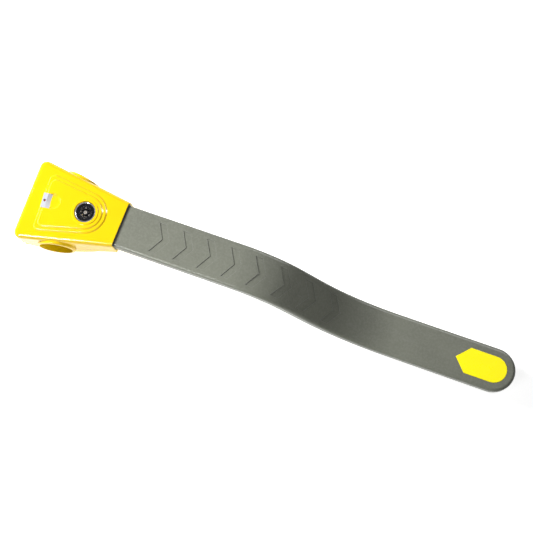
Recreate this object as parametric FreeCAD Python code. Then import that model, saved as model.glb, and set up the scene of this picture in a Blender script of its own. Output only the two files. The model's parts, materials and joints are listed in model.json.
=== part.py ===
import FreeCAD, Part
import math
import os

from FreeCAD import Vector

# Steering wheel lock: a clamping head that closes round the wheel's rim, and a joggled arm.
# Millimetres. Every piece is drawn with the head level: +X runs from the head to the arm's
# tip, +Y runs along the rim that is clamped, +Z leaves the head's top face, and the origin
# is the middle of the clamped rim. Each piece is then pitched about Y, so that the jaw's
# foot and the arm's low bend lie in one level plane.

# Tools that cut reach this far either way along X and Y, and between these heights
FAR = 80.0
ABOVE = 40.0
BELOW = -60.0

# Head plan, as the corners of its outline
OUTER_PLUS = (-46.6, 45.2)
OUTER_MINUS = (-43.8, -54.5)
NECK_X = 70.5
NECK_Y_PLUS = 28.8
NECK_Y_MINUS = -27.3
CORNER_R = 8.0
NECK_CORNER_R = 1.5
WALL = 2.6
FIELD_R = 6.0

# Head heights
PART_Z = -1.0
DECK_Z = 24.6
STEP_RISE = 1.2
STEP_RUN = 2.2
STEP_SPREAD = 0.6
STEP_SOFT = 1.6
PLATEAU_Z = DECK_Z + 2 * STEP_RISE
CEILING_Z = 22.0
DECK_FILLET = 5.5
NECK_FILLET = 0.7
CHEEK_LONG = 1.5
CHEEK_BLANK = 12.0
CHEEK_CORNER_R = 1.0

# Raised steps, as the two outer corners and the nose's radius
LOW_STEP = ((-28.0, 31.0), (-23.0, -39.0), 24.5)
HIGH_STEP = ((-24.0, 26.0), (-20.0, -33.5), 20.0)

# Rim channel
RIM_R = 15.5
PAD_HALF = 28.0
PAD_X = 16.5
PAD_OVERLAP = 6.0
PAD_BACK = 19.4
PAD_BED_X = 22.5
PAD_BED_LOW = -24.5
MOUTH_X = 3.0
MOUTH_R = 18.6
HOOD_R = 21.6
HOOD_PROUD = 3.2
HOOD_FILLET = 2.0

# Jaw
BELLY_X = 10.0
BELLY_R = 71.0
BELLY_LOW = -25.0
FOOT_CUT = 0.6
EDGE_R_OUTER = 3.0
EDGE_R_NECK = 10.0
JAW_END_X = 50.0
JAW_TOP_Z = -1.6
SEAM = 0.6
HINGE_X = -36.0
HINGE_Z = -2.5
KNUCKLE_R = 4.8
KNUCKLE_MINUS = -40.0
KNUCKLE_PLUS = 33.0
PIN_R = 2.5
BUSH_R = 3.4
RUN_GAP = 0.05
EAR_IN = 20.0
EAR_OUT = 24.0
EAR_GAP = 0.4
EAR_SLOT_END = 7.5
PIN_PROUD = 1.0
SCREW_WAY_R = 1.6

# Arm
ARM_W = 51.0
ARM_T = 16.0
ARM_EDGE_R = 4.0
ARM_TOP = 22.0
ARM_START = 66.0
BEND_START = 211.0
BEND_ANGLE = 44.0
BEND1_R = 96.0
RAMP = 30.0
BEND2_R = 142.5
TIP_X = 546.0
CORE_W = 34.0
CORE_T = 5.0
CORE_START = 51.0
CORE_TIP_GAP = 24.0
CORE_EDGE_R = 1.0
ARM_MID = ARM_TOP - ARM_T / 2
SPACER_X = (53.0, 64.5)
SPACER_HALF = 16.0
GASKET_T = 1.4
GASKET_HALF = 26.0
GASKET_CORNER_R = 0.4
GASKET_Z = (5.0, 23.0)

# Head frame
FRAME_LOW = 19.5
FRAME_T = 2.3
FRAME_X = (-40.5, 62.0)
FRAME_WIDE = 28.0
FRAME_NARROW = 16.5
EAR_R = 4.0
LIGHT_BAY_X = (-30.0, -17.2)
LIGHT_BAY_HALF = 14.0
FRAME_TOP = FRAME_LOW + FRAME_T

# Lock cylinder
KEY_X = 27.5
COLLAR_R = 15.6
COLLAR_RISE = 0.8
COLLAR_FILLET = 0.7
SHELL_R = 9.5
SHELL_FLANGE_R = 10.5
BEZEL_R = 12.5
PLUG_R = 7.0
FACE_Z = 25.2
SHELL_LOW = 8.0
KEYWAY_OUT = 4.95
KEYWAY_IN = 3.45
KEYWAY_DEPTH = 8.0
KEYWAY_NOTCH = 6.2
KEYWAY_NOTCH_HALF = 0.8
POST_DIMPLE_R = 1.1
KEY_PIN_R = 0.6
KEY_PIN_LONG = 8.6
CAM_LOW = 5.3
CAM_R = 8.2
CAM_BORE_R = 1.5
CRANK_LOW = 1.0
CRANK_R = 5.0
CRANK_PIN_R = 1.8

# Bolt, its housing and the striker that it enters
HOUSING_X = (17.2, 52.0)
HOUSING_HALF = 15.0
HOUSING_NECK_TOP = 10.0
CAM_CAVITY_R = 9.0
CAM_CAVITY_LOW = 0.4
BOLT_WAY_X = (18.6, 49.4)
BOLT_WAY_HALF = 8.2
BOLT_WAY_TOP = 4.9
PLATE_T = 0.8
BOLT_LOW = 0.6
BOLT_T = 4.0
BLADE_X = (19.4, 35.0)
BLADE_HALF = 7.8
NOSE_X = (30.0, 41.0)
NOSE_HALF = 5.0
STRIKER_X = 43.0
STRIKER_T = 3.0
STRIKER_HALF = 7.6
STRIKER_TOP = 7.0
STRIKER_LOW = -10.0
STRIKER_FOOT_X = 28.0
STRIKER_ROOM = 1.2

# Marks pressed into the arm's upper face, and the inlay in its tip
CHEVRON_FIRST = 112.0
CHEVRON_PITCH = 29.0
CHEVRONS = 8
CHEVRON_HALF = 17.5
CHEVRON_WIDE = 8.5
CHEVRON_LEAN = 10.0
CHEVRON_DEEP = 0.8
INLAY_R = 15.8
INLAY_SIDE = 31.0
INLAY_POINT = 14.6
INLAY_T = 1.6
INLAY_GAP = 0.45
INLAY_PROUD = 0.1
INLAY_EDGE_R = 0.3

# Underside of the neck: a plain ramp from the jaw's end
RAMP_LOW = -12.7
RAMP_HIGH = -3.0
RAMP_EDGE_R = 8.8
RAMP_EDGE_R_NECK = 4.0
LID_X = 52.3

# Warning light
LAMP_X = -22.3
LAMP_Y = -2.2
LAMP_R = 1.4
DISH_X = -12.8
DISH_Y = -0.6
DISH_FLOOR_R = 6.6
DISH_R = 9.6
DISH_DEEP = 2.3
WINDOW_X = (-25.2, -14.7)
WINDOW_Y = (-10.6, 6.8)
WINDOW_TURN = 8.0
BEZEL_T = 2.6
BEZEL_PROUD = 0.08
LAMP_GAP = 0.1
BEZEL_ARC_X = 20.2
BEZEL_FLOOR_R = 36.0
BEZEL_ARC_R = 40.2
LENS_TOP = 26.2
LENS_FLANGE = 0.5
BOARD_X = (-29.0, -17.6)
BOARD_TOP = 17.2
BOARD_T = 1.2
BOARD_HALF = 12.0
CELL_R = 5.8
CELL_LOW = 9.6
CELL_T = 5.4
CELL_X = -23.3
CELL_Y = 6.1
CELL_GAP = 0.15
TRAY_WALL = 1.5

# Screws, as shank radius, shank length, head radius and head height
COVER_SCREW = (1.6, 4.5, 3.0, 2.0)
HOUSING_SCREW = (1.5, 14.0, 2.6, 1.2)
CAM_SCREW = (1.5, 7.0, 1.7, 0.3)
STRIKER_SCREW = (1.6, 7.0, 2.9, 2.0)
BACK_SCREW = (1.5, 11.0, 3.0, 2.0)
PLATE_SCREW = (1.0, 4.0, 1.9, 0.4)

# Fasteners, as (x, y) places of upright axes
COVER_SCREWS = [(-34.0, -14.0), (-34.0, 14.0), (23.0, -21.0), (23.0, 21.0)]
BACK_SCREWS = [(58.5, -21.6), (58.5, 21.6)]
LID_TOP = PART_Z + 2.4
BACK_SEAT_Z = -2.2
BOSS_R = 3.4
RIVETS = [(57.0, -9.0), (57.0, 9.0)]
RIVET_R = 2.5
RIVET_HEAD_R = 4.2
RIVET_HEAD_T = 1.6
HOUSING_SCREWS = [(21.0, -12.0), (21.0, 12.0), (46.0, -12.0), (46.0, 12.0)]
HOUSING_SEAT_Z = 18.3
PLATE_SCREWS = [(20.0, -11.8), (20.0, 11.8), (47.0, -11.8), (47.0, 11.8)]
STRIKER_SCREWS = [(34.0, -4.0), (34.0, 4.0)]
STRIKER_SEAT_Z = -14.0

# Resting plane: the level line that touches the jaw's belly and the arm's low bend
BELLY_Z = BELLY_LOW + BELLY_R
ARM_DROP = (BEND1_R + BEND2_R) * (1 - math.cos(math.radians(BEND_ANGLE)))
ARM_DROP += RAMP * math.sin(math.radians(BEND_ANGLE))
BEND_RUN = (BEND1_R + BEND2_R) * math.sin(math.radians(BEND_ANGLE))
BEND_RUN += RAMP * math.cos(math.radians(BEND_ANGLE))
LOW_X = BEND_START + BEND_RUN
LOW_Z = ARM_MID - ARM_DROP + BEND2_R
LOW_R = BEND2_R + ARM_T / 2
CENTRE_DX = LOW_X - BELLY_X
CENTRE_DZ = LOW_Z - BELLY_Z
PITCH = math.asin((LOW_R - BELLY_R) / math.hypot(CENTRE_DX, CENTRE_DZ))
PITCH -= math.atan2(CENTRE_DZ, CENTRE_DX)
FLOOR = BELLY_X * math.sin(PITCH) + BELLY_Z * math.cos(PITCH) - BELLY_R

UP = Vector(0, 0, 1)
ALONG_Y = Vector(0, 1, 0)


def box(x0, x1, y0, y1, z0, z1):
    return Part.makeBox(x1 - x0, y1 - y0, z1 - z0, Vector(x0, y0, z0))


def disc(x, y, z0, z1, radius):
    return Part.makeCylinder(radius, z1 - z0, Vector(x, y, z0), UP)


def rod_y(x, z, y0, y1, radius):
    return Part.makeCylinder(radius, y1 - y0, Vector(x, y0, z), ALONG_Y)


def joined(pieces):
    whole = pieces[0]
    for piece in pieces[1:]:
        whole = whole.fuse(piece)
    return whole.removeSplitter()


def corner_arc(before, corner, after, radius):
    """The arc that rounds one corner, with its two ends."""
    back = (before - corner).normalize()
    ahead = (after - corner).normalize()
    half = back.getAngle(ahead) / 2
    reach = radius / math.tan(half)
    middle = (back + ahead).normalize()
    crown = corner + middle * (radius / math.sin(half) - radius)
    start = corner + back * reach
    end = corner + ahead * reach
    return start, end, Part.Arc(start, crown, end).toShape()


def line(start, end):
    return Part.LineSegment(start, end).toShape()


def rounded_outline(corners, radii):
    """A closed outline through the corners, each rounded by its own radius."""
    points = [Vector(*corner) for corner in corners]
    count = len(points)
    arcs = []
    for i in range(count):
        arcs.append(corner_arc(points[i - 1], points[i], points[(i + 1) % count], radii[i]))
    edges = []
    for i in range(count):
        edges.append(arcs[i][2])
        edges.append(line(arcs[i][1], arcs[(i + 1) % count][0]))
    return Part.Wire(edges)


def prism(corners, radii, z0, z1):
    flat = [(x, y, z0) for x, y in corners]
    return Part.Face(rounded_outline(flat, radii)).extrude(Vector(0, 0, z1 - z0))


def top_edges(solid, z):
    """The edges that lie in the level plane at z."""
    found = []
    for edge in solid.Edges:
        if abs(edge.BoundBox.ZMin - z) < 1e-4 and abs(edge.BoundBox.ZMax - z) < 1e-4:
            found.append(edge)
    return found


# ---------------------------------------------------------------- head

def head_corners(grow, x_end):
    """The plan's four corners, moved outwards by grow, with the flanks run on to x_end."""
    run = x_end - NECK_X
    plus = NECK_Y_PLUS + run * (NECK_Y_PLUS - OUTER_PLUS[1]) / (NECK_X - OUTER_PLUS[0])
    minus = NECK_Y_MINUS + run * (NECK_Y_MINUS - OUTER_MINUS[1]) / (NECK_X - OUTER_MINUS[0])
    return [(OUTER_MINUS[0] - grow, OUTER_MINUS[1] - grow), (x_end + grow, minus - grow),
            (x_end + grow, plus + grow), (OUTER_PLUS[0] - grow, OUTER_PLUS[1] + grow)]


def head_prism(grow, z0, z1, radius=CORNER_R):
    """The head's plan as a prism. Grow moves every side outwards."""
    radii = [radius, NECK_CORNER_R, NECK_CORNER_R, radius]
    return prism(head_corners(grow, NECK_X), radii, z0, z1)


def sharp_plan(z0, z1):
    """The head's plan with square corners, for the pieces of the underside."""
    ring = [Vector(x, y, z0) for x, y in head_corners(0, NECK_X)]
    return Part.Face(Part.makePolygon(ring + ring[:1])).extrude(Vector(0, 0, z1 - z0))


def cover_block():
    """The cover's outside: broad fillets along three sides, and a small one round the neck's face.

    The neck's cheeks run past the gasket, which stands in a notch between them.
    """
    end = NECK_X + CHEEK_LONG
    corners = head_corners(0, NECK_X + CHEEK_BLANK)
    radii = [CORNER_R, CHEEK_CORNER_R, CHEEK_CORNER_R, CORNER_R]
    block = prism(corners, radii, PART_Z, DECK_Z)
    sides = [edge for edge in top_edges(block, DECK_Z) if edge.BoundBox.XMin < NECK_X]
    block = block.makeFillet(DECK_FILLET, sides)
    block = block.cut(box(end, end + FAR, -FAR, FAR, PART_Z - 1, DECK_Z + 1))
    rim = [edge for edge in block.Edges if edge.BoundBox.XMin > end - 0.01 and edge.BoundBox.ZMax > 0]
    block = block.makeFillet(NECK_FILLET, rim)
    half = GASKET_HALF + RUN_GAP
    return block.cut(box(NECK_X, end + 1, -half, half, GASKET_Z[0] - RUN_GAP, ABOVE))


def tangent_point(x, y, nose_r):
    """Where the line from a corner meets the circle about the cylinder, on the corner's side."""
    away = math.hypot(x - KEY_X, y)
    turn = math.atan2(y, x - KEY_X)
    turn -= math.copysign(math.acos(nose_r / away), y)
    return KEY_X + nose_r * math.cos(turn), nose_r * math.sin(turn)


def teardrop(left_plus, left_minus, nose_r, z0):
    """A field's outline: two rounded corners by the outer end, drawn in to an arc about the cylinder."""
    plus = Vector(*left_plus, z0)
    minus = Vector(*left_minus, z0)
    touch_plus = Vector(*tangent_point(*left_plus, nose_r), z0)
    touch_minus = Vector(*tangent_point(*left_minus, nose_r), z0)
    first = corner_arc(touch_plus, plus, minus, FIELD_R)
    second = corner_arc(plus, minus, touch_minus, FIELD_R)
    nose = Part.Arc(touch_minus, Vector(KEY_X + nose_r, 0, z0), touch_plus).toShape()
    edges = [first[2], line(first[1], second[0]), second[2], line(second[1], touch_minus),
             nose, line(touch_plus, first[0])]
    return Part.Wire(edges)


def sloped_step(outline, z0):
    """A step that rises from z0 by a sloping side with a soft upper edge, on a sunk base."""
    z1 = z0 + STEP_RISE
    foot = teardrop(*outline, z0).makeOffset2D(STEP_SPREAD)
    top = foot.makeOffset2D(STEP_SPREAD - STEP_RUN)
    top.translate(Vector(0, 0, STEP_RISE))
    slope = Part.makeLoft([foot, top], True, True)
    slope = slope.makeFillet(STEP_SOFT, top_edges(slope, z1))
    base = Part.Face(foot).extrude(Vector(0, 0, DECK_Z - 1 - z0))
    return joined([slope, base])


def head_steps():
    """Two nested steps on the deck."""
    return [sloped_step(LOW_STEP, DECK_Z), sloped_step(HIGH_STEP, DECK_Z + STEP_RISE)]


def collar():
    """The ridge round the lock cylinder."""
    ridge_top = PLATEAU_Z + COLLAR_RISE
    ridge = disc(KEY_X, 0, CEILING_Z, ridge_top, COLLAR_R)
    return ridge.makeFillet(COLLAR_FILLET, top_edges(ridge, ridge_top))


def dish():
    """The dished recess beside the warning light."""
    low = PLATEAU_Z - DISH_DEEP
    cone = Part.makeCone(DISH_FLOOR_R, DISH_R, DISH_DEEP, Vector(DISH_X, DISH_Y, low), UP)
    return joined([cone, disc(DISH_X, DISH_Y, PLATEAU_Z, PLATEAU_Z + 1, DISH_R)])


def rim_hood(z0, z1):
    """The arched lip round the rim's mouth, on both flanks, between two heights."""
    reach = rod_y(MOUTH_X, 0, -FAR, FAR, HOOD_R)
    plan = head_prism(HOOD_PROUD, z0 - 1, z1 + 1)
    band = reach.common(plan)
    outer = [e for e in band.Edges if on_flank(e)]
    band = band.makeFillet(HOOD_FILLET, outer)
    return band.common(box(-FAR, FAR, -FAR, FAR, z0, z1))


def on_flank(edge):
    """True for the curved edges where the lip's cylinder meets its flat flank."""
    if edge.Length < 20:
        return False
    middle = edge.valueAt((edge.FirstParameter + edge.LastParameter) / 2)
    away = math.hypot(middle.x - MOUTH_X, middle.z)
    return abs(away - HOOD_R) < 0.05 and edge.BoundBox.XLength > 20


def rim_mouth():
    return rod_y(MOUTH_X, 0, -FAR, FAR, MOUTH_R)


def neck_window(gap, x0, x1):
    """The arm's section, grown by gap, as a hole through the neck."""
    section = arm_section(ARM_W + 2 * gap, ARM_T + 2 * gap, ARM_EDGE_R + gap, x0)
    return section.extrude(Vector(x1 - x0, 0, 0))


def window_turned(shape):
    """A shape about the warning light, turned with its window."""
    middle = Vector(sum(WINDOW_X) / 2, sum(WINDOW_Y) / 2, 0)
    shape.rotate(middle, UP, WINDOW_TURN)
    return shape


def window_block(z1):
    """The warning light's window up to z1, with its hollow edge beside the dish."""
    block = box(*WINDOW_X, *WINDOW_Y, PLATEAU_Z - BEZEL_T, z1)
    edge = disc(BEZEL_ARC_X, sum(WINDOW_Y) / 2, 0, ABOVE, BEZEL_FLOOR_R)
    return window_turned(block.cut(edge))


def led_bezel():
    """The silver plate, flat round the lamp and sloped down to the dish's floor."""
    low = Vector(BEZEL_ARC_X, sum(WINDOW_Y) / 2, PLATEAU_Z - DISH_DEEP)
    slope = Part.makeCone(BEZEL_FLOOR_R, BEZEL_ARC_R, DISH_DEEP, low, UP)
    above = disc(low.x, low.y, PLATEAU_Z, PLATEAU_Z + 1, BEZEL_ARC_R)
    plate = window_block(PLATEAU_Z + BEZEL_PROUD).cut(window_turned(joined([slope, above])))
    return plate.cut(disc(LAMP_X, LAMP_Y, 0, ABOVE, LAMP_R + LAMP_GAP))


def head_cover():
    body = joined([cover_block(), rim_hood(PART_Z, DECK_Z)] + head_steps() + [collar()])
    hollow = head_prism(-WALL, PART_Z - 1, CEILING_Z, CORNER_R - WALL)
    hollow = hollow.cut(rod_y(MOUTH_X, 0, -FAR, -PAD_HALF - 1, MOUTH_R + WALL))
    hollow = hollow.cut(rod_y(MOUTH_X, 0, PAD_HALF + 1, FAR, MOUTH_R + WALL))
    body = body.cut(hollow)
    body = body.cut(rim_mouth())
    body = body.cut(disc(KEY_X, 0, FRAME_LOW, ABOVE, BEZEL_R + RUN_GAP))
    body = body.cut(dish())
    body = body.cut(window_block(PLATEAU_Z + 1))
    body = body.cut(disc(LAMP_X, LAMP_Y, BOARD_TOP, ABOVE, LAMP_R + LENS_FLANGE + LAMP_GAP))
    body = body.cut(neck_window(0.3, NECK_X - 10, NECK_X + 10))
    for x, y in COVER_SCREWS:
        body = body.cut(disc(x, y, FRAME_LOW, FRAME_LOW + COVER_SCREW[1], COVER_SCREW[0]))
    for x, y in BACK_SCREWS:
        body = joined([body, disc(x, y, LID_TOP, CEILING_Z + 0.5, BOSS_R)])
        body = body.cut(disc(x, y, LID_TOP - 1, LID_TOP + 9, BACK_SCREW[0]))
    return body


# ---------------------------------------------------------------- frame and fasteners

def head_frame():
    """The steel plate under the deck, with the two ears that carry the jaw's hinge."""
    corners = [(FRAME_X[0], -FRAME_WIDE), (FRAME_X[1], -FRAME_NARROW),
               (FRAME_X[1], FRAME_NARROW), (FRAME_X[0], FRAME_WIDE)]
    plate = prism(corners, [4.0] * 4, FRAME_LOW, FRAME_TOP)
    pieces = [plate]
    for side in (-1, 1):
        low, high = sorted((side * EAR_IN, side * EAR_OUT))
        pieces.append(box(HINGE_X - EAR_R, HINGE_X + EAR_R + 1, low, high, HINGE_Z, FRAME_LOW + 1))
        pieces.append(rod_y(HINGE_X, HINGE_Z, low, high, EAR_R))
    frame = joined(pieces)
    frame = frame.cut(rod_y(HINGE_X, HINGE_Z, -FAR, FAR, PIN_R))
    frame = frame.cut(disc(KEY_X, 0, 0, ABOVE, SHELL_FLANGE_R))
    frame = frame.cut(box(*LIGHT_BAY_X, -LIGHT_BAY_HALF, LIGHT_BAY_HALF, 0, ABOVE))
    for x, y in COVER_SCREWS:
        frame = frame.cut(disc(x, y, 0, ABOVE, COVER_SCREW[0] + 0.4))
    for x, y in RIVETS:
        frame = frame.cut(disc(x, y, 0, ABOVE, RIVET_R))
    for x, y in HOUSING_SCREWS:
        frame = frame.cut(disc(x, y, 0, ABOVE, HOUSING_SCREW[0]))
    return frame


def pan_screw(x, y, z_seat, direction, sizes):
    """A screw whose head bears at z_seat and whose shank runs in the given Z direction."""
    shank_r, length, head_r, head_h = sizes
    axis = Vector(0, 0, direction)
    shank = Part.makeCylinder(shank_r, length, Vector(x, y, z_seat), axis)
    head = Part.makeCylinder(head_r, head_h, Vector(x, y, z_seat), axis * -1)
    socket = Part.makeCylinder(head_r * 0.5, head_h * 0.6, Vector(x, y, z_seat - direction * head_h), axis)
    return joined([shank, head]).cut(socket)


def cover_screws():
    return [pan_screw(x, y, FRAME_LOW, 1, COVER_SCREW) for x, y in COVER_SCREWS]


def housing_screws():
    return [pan_screw(x, y, HOUSING_SEAT_Z, -1, HOUSING_SCREW) for x, y in HOUSING_SCREWS]


def upper_pad():
    pad = box(-PAD_X, PAD_X, -PAD_HALF, PAD_HALF, PAD_OVERLAP, PAD_BACK)
    return pad.cut(rod_y(0, 0, -FAR, FAR, RIM_R))


# ---------------------------------------------------------------- warning light

def led_board():
    return box(*BOARD_X, -BOARD_HALF, BOARD_HALF, BOARD_TOP - BOARD_T, BOARD_TOP)


def led_lamp():
    lens = disc(LAMP_X, LAMP_Y, BOARD_TOP, LENS_TOP, LAMP_R)
    return joined([lens, disc(LAMP_X, LAMP_Y, BOARD_TOP, BOARD_TOP + 1.0, LAMP_R + LENS_FLANGE)])


def cell_shapes(grow):
    low = CELL_LOW - grow
    high = CELL_LOW + CELL_T + grow
    return [disc(CELL_X, y, low, high, CELL_R + grow) for y in (-CELL_Y, CELL_Y)]


def battery_holder():
    half = CELL_Y + CELL_R + TRAY_WALL
    rim_z = BOARD_TOP - BOARD_T - 0.1
    tray = box(CELL_X - CELL_R - 0.8, CELL_X + CELL_R + 0.5, -half, half, CELL_LOW - BOARD_T, rim_z)
    for cell in cell_shapes(CELL_GAP):
        tray = tray.cut(cell)
    top = CELL_LOW + CELL_T - 0.1
    return tray.cut(box(CELL_X - CELL_R - 0.1, CELL_X + CELL_R + 0.1, 1 - half, half - 1, top, BOARD_TOP))


# ---------------------------------------------------------------- lock

def striker_way(z0, z1):
    """The room that the striker swings into, from z0 to z1."""
    half = BOLT_WAY_HALF + 0.2
    return box(STRIKER_X - STRIKER_ROOM, BOLT_WAY_X[1], -half, half, z0, z1)


def lock_housing():
    block = box(*HOUSING_X, -HOUSING_HALF, HOUSING_HALF, 0.0, FRAME_LOW)
    block = block.cut(disc(KEY_X, 0, SHELL_LOW, ABOVE, SHELL_R + 0.02))
    block = block.cut(disc(KEY_X, 0, CAM_CAVITY_LOW, SHELL_LOW, CAM_CAVITY_R))
    block = block.cut(box(*BOLT_WAY_X, -BOLT_WAY_HALF, BOLT_WAY_HALF, -1, BOLT_WAY_TOP))
    block = block.cut(striker_way(-1, STRIKER_TOP + 2))
    block = block.cut(box(HOUSING_X[1] - 2, FAR, -FAR, FAR, HOUSING_NECK_TOP, ABOVE))
    for x, y in HOUSING_SCREWS:
        block = block.cut(disc(x, y, HOUSING_SEAT_Z - HOUSING_SCREW[1] - 0.3, ABOVE, HOUSING_SCREW[0]))
        block = block.cut(disc(x, y, HOUSING_SEAT_Z, ABOVE, HOUSING_SCREW[2] + 0.1))
    for x, y in PLATE_SCREWS:
        block = block.cut(disc(x, y, BELOW, PLATE_SCREW[1] - PLATE_T, PLATE_SCREW[0]))
    return block


def bolt_plate():
    plate = box(*HOUSING_X, -HOUSING_HALF, HOUSING_HALF, -PLATE_T, 0.0)
    plate = plate.cut(striker_way(-2, 2))
    for x, y in PLATE_SCREWS:
        plate = plate.cut(disc(x, y, BELOW, ABOVE, PLATE_SCREW[0]))
    return plate


def plate_screws():
    shank_r, length, head_r, head_h = PLATE_SCREW
    screws = []
    for x, y in PLATE_SCREWS:
        shank = disc(x, y, -PLATE_T, length - PLATE_T, shank_r)
        screws.append(joined([shank, disc(x, y, -PLATE_T - head_h, -PLATE_T, head_r)]))
    return screws


def lock_bezel():
    top = PLATEAU_Z - 0.5
    ring = disc(KEY_X, 0, FRAME_TOP, top, BEZEL_R)
    ring = ring.cut(disc(KEY_X, 0, 0, ABOVE, SHELL_FLANGE_R + 0.02))
    return ring.makeFillet(0.7, top_edges(ring, top))


def cylinder_shell():
    body = disc(KEY_X, 0, SHELL_LOW, FACE_Z, SHELL_R)
    flange = disc(KEY_X, 0, FRAME_LOW, FACE_Z, SHELL_FLANGE_R)
    flange = flange.makeFillet(0.5, top_edges(flange, FACE_Z))
    shell = joined([body, flange])
    return shell.cut(disc(KEY_X, 0, 0, ABOVE, PLUG_R + RUN_GAP))


def pin_places():
    """The seven pins stand on one circle in the bottom of the round keyway."""
    middle = (KEYWAY_OUT + KEYWAY_IN) / 2
    places = []
    for i in range(7):
        turn = 2 * math.pi * (i + 0.5) / 8
        places.append((KEY_X + middle * math.cos(turn), middle * math.sin(turn)))
    return places


def cylinder_plug():
    top = FACE_Z - 0.3
    plug = disc(KEY_X, 0, SHELL_LOW + 0.3, top, PLUG_R)
    plug = plug.makeFillet(0.4, top_edges(plug, top))
    floor = top - KEYWAY_DEPTH
    keyway = disc(KEY_X, 0, floor, ABOVE, KEYWAY_OUT)
    keyway = keyway.cut(disc(KEY_X, 0, 0, ABOVE, KEYWAY_IN))
    plug = plug.cut(keyway)
    half = KEYWAY_NOTCH_HALF
    plug = plug.cut(box(KEY_X + KEYWAY_IN, KEY_X + KEYWAY_NOTCH, -half, half, floor, ABOVE))
    plug = plug.cut(disc(KEY_X, 0, top - 1.2, ABOVE, POST_DIMPLE_R))
    for x, y in pin_places():
        plug = plug.cut(disc(x, y, SHELL_LOW + 2, floor + 1, KEY_PIN_R))
    return plug.cut(disc(KEY_X, 0, 0, SHELL_LOW + 5, CAM_SCREW[0]))


def key_pins():
    low = SHELL_LOW + 2
    return [disc(x, y, low, low + KEY_PIN_LONG, KEY_PIN_R) for x, y in pin_places()]


def crank_place():
    turn = math.radians(-135)
    return KEY_X + CRANK_R * math.cos(turn), CRANK_R * math.sin(turn)


def plug_cam():
    cam = disc(KEY_X, 0, CAM_LOW, SHELL_LOW + 0.3, PLUG_R)
    cam = joined([cam, disc(KEY_X, 0, CAM_LOW, SHELL_LOW - 0.3, CAM_R)])
    x, y = crank_place()
    cam = joined([cam, disc(x, y, CRANK_LOW, CAM_LOW + 0.7, CRANK_PIN_R)])
    return cam.cut(disc(KEY_X, 0, 0, ABOVE, CAM_BORE_R))


def cam_screw():
    return pan_screw(KEY_X, 0, CAM_LOW, 1, CAM_SCREW)


def latch_bolt():
    """A flat bolt with a cross slot for the crank and a narrower nose."""
    blade = box(*BLADE_X, -BLADE_HALF, BLADE_HALF, BOLT_LOW, BOLT_LOW + BOLT_T)
    nose = box(*NOSE_X, -NOSE_HALF, NOSE_HALF, BOLT_LOW, BOLT_LOW + BOLT_T)
    x, y = crank_place()
    half = CRANK_PIN_R + 0.3
    slot = box(x - half, x + half, -CRANK_R - half - 0.2, y + half, 0, ABOVE)
    return joined([blade, nose]).cut(slot)


# ---------------------------------------------------------------- jaw

def belly(radius, z1):
    """The underside's wide arc, as a prism across the head, up to z1."""
    drum = rod_y(BELLY_X, BELLY_Z, -FAR, FAR, radius)
    return drum.common(box(-FAR, FAR, -FAR, FAR, BELOW, z1))


def soften_flanks(body, first_r, last_r):
    """Round the underside's two long edges by a radius that changes evenly along them."""
    long_edges = []
    for edge in body.Edges:
        middle = edge.valueAt((edge.FirstParameter + edge.LastParameter) / 2)
        if edge.BoundBox.XLength > 15 and middle.z < JAW_TOP_Z - 1:
            long_edges.append(edge)
    for edge in long_edges:
        towards_neck = edge.valueAt(edge.LastParameter).x > edge.valueAt(edge.FirstParameter).x
        radii = (first_r, last_r) if towards_neck else (last_r, first_r)
        body = body.makeFillet(*radii, [edge])
    return body


def jaw_outer():
    body = sharp_plan(BELOW, JAW_TOP_Z).common(belly(BELLY_R + FOOT_CUT, JAW_TOP_Z))
    body = soften_flanks(body, EDGE_R_OUTER, EDGE_R_NECK)
    return joined([body, rim_hood(-HOOD_R - 1, JAW_TOP_Z)])


def floor_trim():
    """Everything below the resting plane, as one slab."""
    slab = Part.makeBox(800, 300, 60, Vector(-200, -150, FLOOR - 60))
    slab.rotate(Vector(0, 0, 0), ALONG_Y, math.degrees(PITCH))
    return slab


def jaw_shell():
    body = jaw_outer()
    body = body.cut(box(JAW_END_X, FAR, -FAR, FAR, BELOW, ABOVE))
    body = body.cut(box(-FAR, HINGE_X, -FAR, FAR, BELOW, ABOVE))
    body = joined([body, rod_y(HINGE_X, HINGE_Z, KNUCKLE_MINUS, KNUCKLE_PLUS, KNUCKLE_R)])
    over = box(-FAR, FAR, -FAR, FAR, JAW_TOP_Z, ABOVE)
    body = body.cut(over.cut(rod_y(HINGE_X, HINGE_Z, -FAR, FAR, KNUCKLE_R + 0.01)))
    body = body.cut(rim_mouth())
    bed = box(-PAD_BED_X, PAD_BED_X, -PAD_HALF, PAD_HALF, PAD_BED_LOW, JAW_TOP_Z)
    body = joined([body, bed.common(jaw_outer())])
    body = body.cut(rod_y(0, 0, -FAR, FAR, RIM_R + 0.8))
    body = body.cut(lower_pad_block())
    for side in (-1, 1):
        low, high = sorted((side * (EAR_IN - EAR_GAP), side * (EAR_OUT + EAR_GAP)))
        body = body.cut(box(-FAR, HINGE_X + EAR_SLOT_END, low, high, BELOW, ABOVE))
    body = body.cut(rod_y(HINGE_X, HINGE_Z, -FAR, FAR, BUSH_R))
    back = STRIKER_X + STRIKER_T
    body = body.cut(box(STRIKER_FOOT_X, back, -STRIKER_HALF, STRIKER_HALF, STRIKER_LOW, ABOVE))
    for x, y in STRIKER_SCREWS:
        body = body.cut(disc(x, y, BELOW, 0, SCREW_WAY_R))
        body = body.cut(disc(x, y, BELOW, STRIKER_SEAT_Z, STRIKER_SCREW[2] + 0.1))
    return body.cut(floor_trim())


def lower_pad_block():
    return box(-PAD_X, PAD_X, -PAD_HALF, PAD_HALF, -PAD_BACK, -PAD_OVERLAP)


def lower_pad():
    return lower_pad_block().cut(rod_y(0, 0, -FAR, FAR, RIM_R))


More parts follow.
